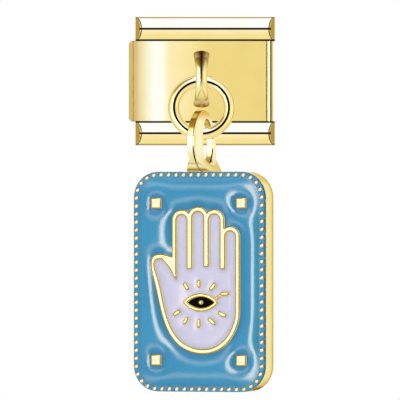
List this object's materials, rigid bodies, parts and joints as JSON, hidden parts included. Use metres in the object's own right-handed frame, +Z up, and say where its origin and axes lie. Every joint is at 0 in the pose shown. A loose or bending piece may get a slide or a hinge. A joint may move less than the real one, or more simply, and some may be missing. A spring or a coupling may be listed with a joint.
{
  "type": "hamsa pendant on bracelet link",
  "caption": "A sprung rectangular bracelet link with a staple, a jump ring and an enamelled rectangular pendant that shows an open hand with an eye and a beaded edge.",
  "frame": {"origin": "the centre of the link's flat back", "axes": "+Y out of the back of the link, towards the wrist; -Y out of the front; +Z up, along the link, the ring and the hanging pendant; +X to the right seen from the front"},
  "size_m": [0.0103, 0.0076, 0.0262],
  "materials": {
    "gold_face": "polished pale gold",
    "gold_wire": "polished pale gold",
    "gold_casting": "polished cast gold colour",
    "spring_steel": "rolled strip",
    "blue_enamel": "glossy enamel",
    "lilac_enamel": "glossy enamel",
    "black_enamel": "glossy enamel"
  },
  "bodies": {
    "link_front": {"face_plate": "gold_face", "top_rail": "gold_face", "bottom_rail": "gold_face", "staple": "gold_wire", "top_spring": "spring_steel", "bottom_spring": "spring_steel"},
    "link_back": {"back_plate": "gold_face"},
    "jump_ring": {"jump_ring": "gold_wire"},
    "pendant": {"bail_loop": "gold_casting", "pendant_case": "gold_casting", "blue_enamel": "blue_enamel", "hand_enamel": "lilac_enamel", "eye_enamel": "black_enamel"}
  },
  "joints": [
    {"name": "stretch", "type": "slide", "parent": "link_front", "child": "link_back", "axis": [1, 0, 0], "range_m": [0, 0.0012], "stiffness_N_per_m": 60, "springref_m": -0.001, "deforming": ["top_spring", "bottom_spring"]},
    {"name": "ring_swing", "type": "hinge", "parent": "link_front", "child": "jump_ring", "pos_m": [0, -0.00347, 0], "axis": [-1, 0, 0], "range_deg": [0, 110]},
    {"name": "pendant_swing", "type": "hinge", "parent": "jump_ring", "child": "pendant", "pos_m": [0, -0.0046, -0.00374], "axis": [-1, 0, 0], "range_deg": [-5, 75]}
  ]
}
